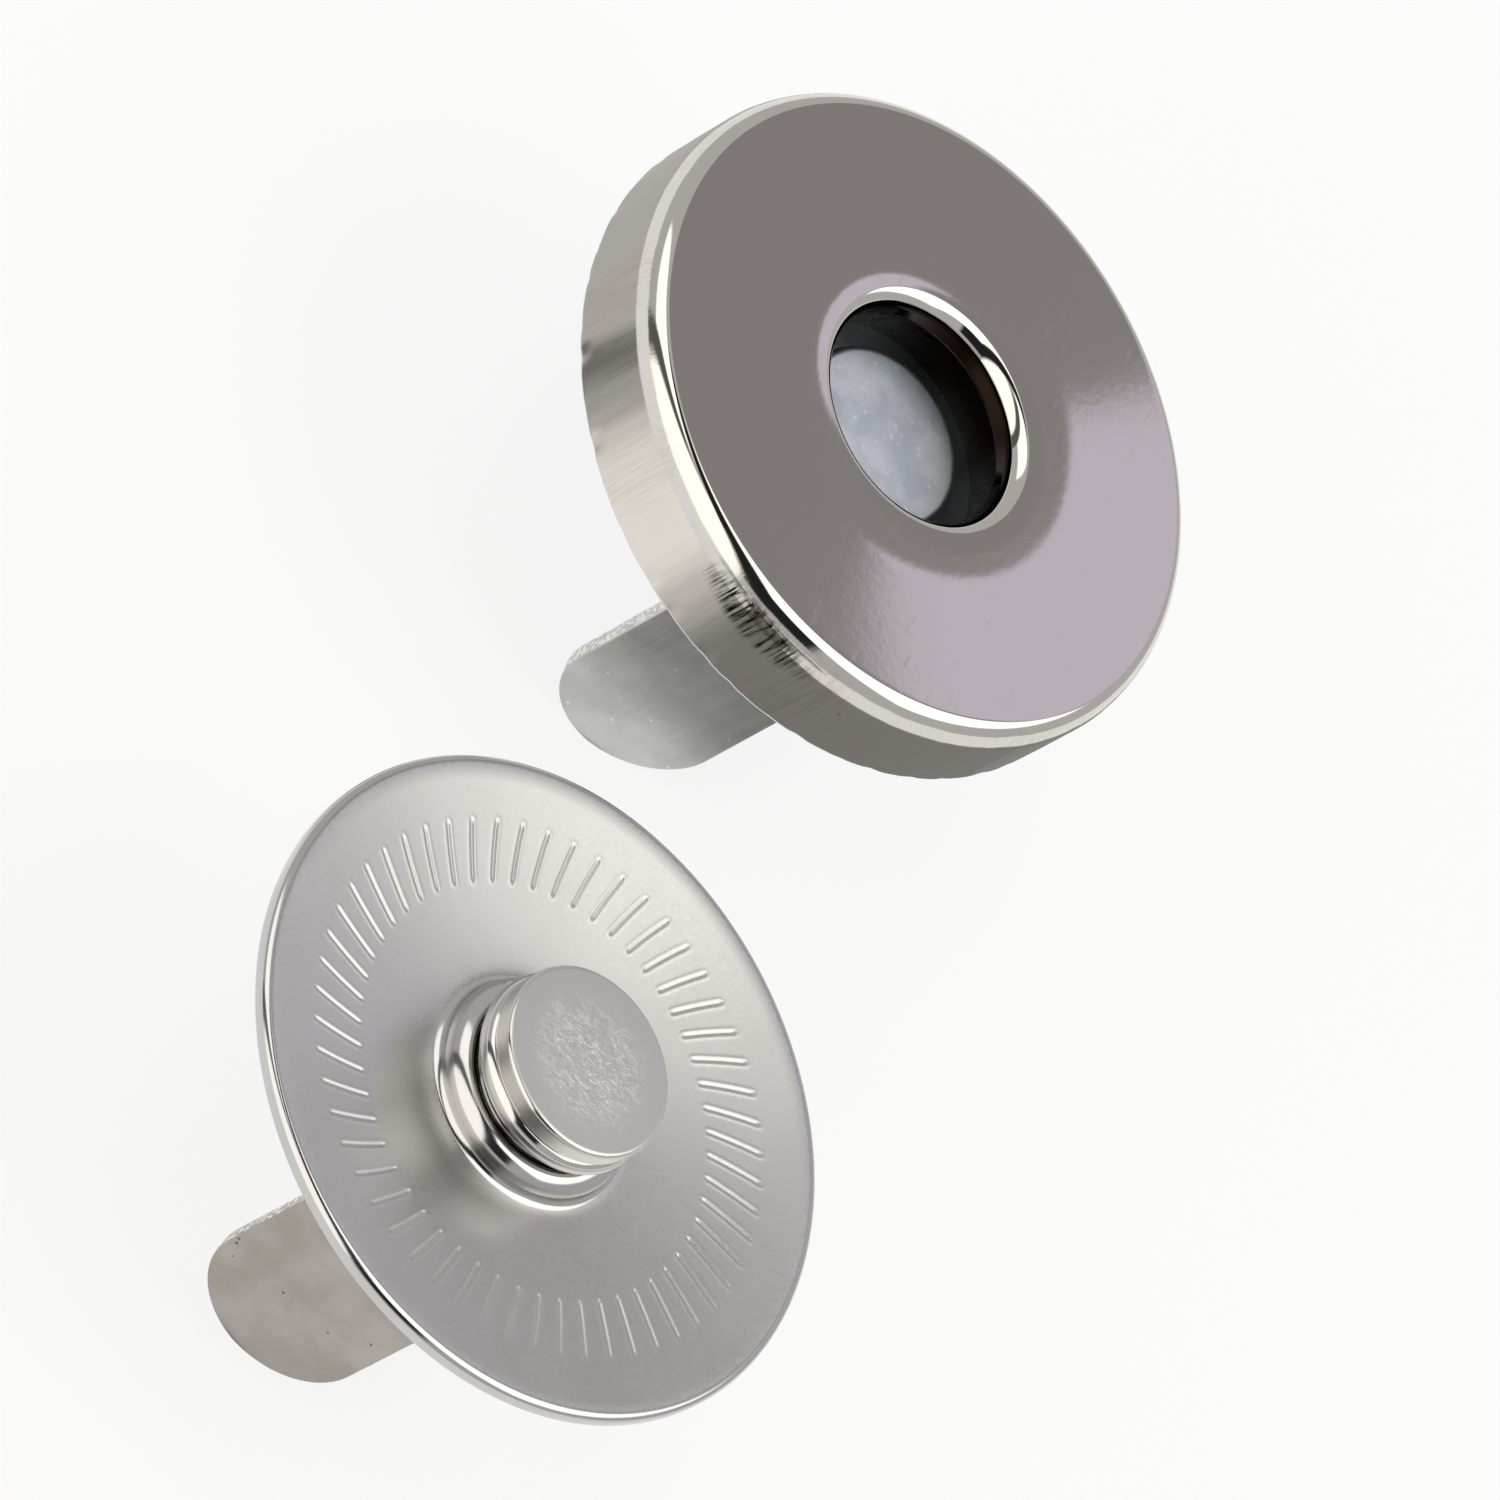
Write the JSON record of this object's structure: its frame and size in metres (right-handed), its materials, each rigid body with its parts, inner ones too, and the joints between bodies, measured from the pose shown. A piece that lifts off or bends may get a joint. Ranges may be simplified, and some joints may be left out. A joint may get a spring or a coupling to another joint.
{
  "type": "magnetic snap",
  "caption": "Magnetic snap: a socket half with a ring magnet and a stud half, each fixed by two folding prongs.",
  "frame": {"origin": "centre of the socket half on the plane of its back, where the web of its prong strip lies on the material", "axes": "+Z along the axis of the socket, out of its hole; the stud half stands beside it at -Y with its axis along +Z"},
  "size_m": [0.018, 0.0418, 0.0109],
  "materials": {
    "nickel_cover": "bright nickel plate on drawn steel, warm tone",
    "ferrite": "dark sintered ferrite, ground",
    "zinc_plate": "zinc plate on steel",
    "zinc_pole": "blue-white zinc plate on a headed steel rivet",
    "zinc_strip": "blue-white zinc plate on stamped strip",
    "nickel_disc": "satin nickel plate on stamped sheet",
    "nickel_stud": "nickel plate on turned steel, fine scratches on top",
    "nickel_strip": "nickel plate on stamped strip, warm tone"
  },
  "bodies": {
    "root": {"socket_cover": "nickel_cover", "ring_magnet": "ferrite", "base_plate": "zinc_plate", "pole_rivet": "zinc_pole", "socket_prongs": "zinc_strip", "stud_disc": "nickel_disc", "stud_post": "nickel_stud", "stud_prongs": "nickel_strip"}
  },
  "joints": []
}
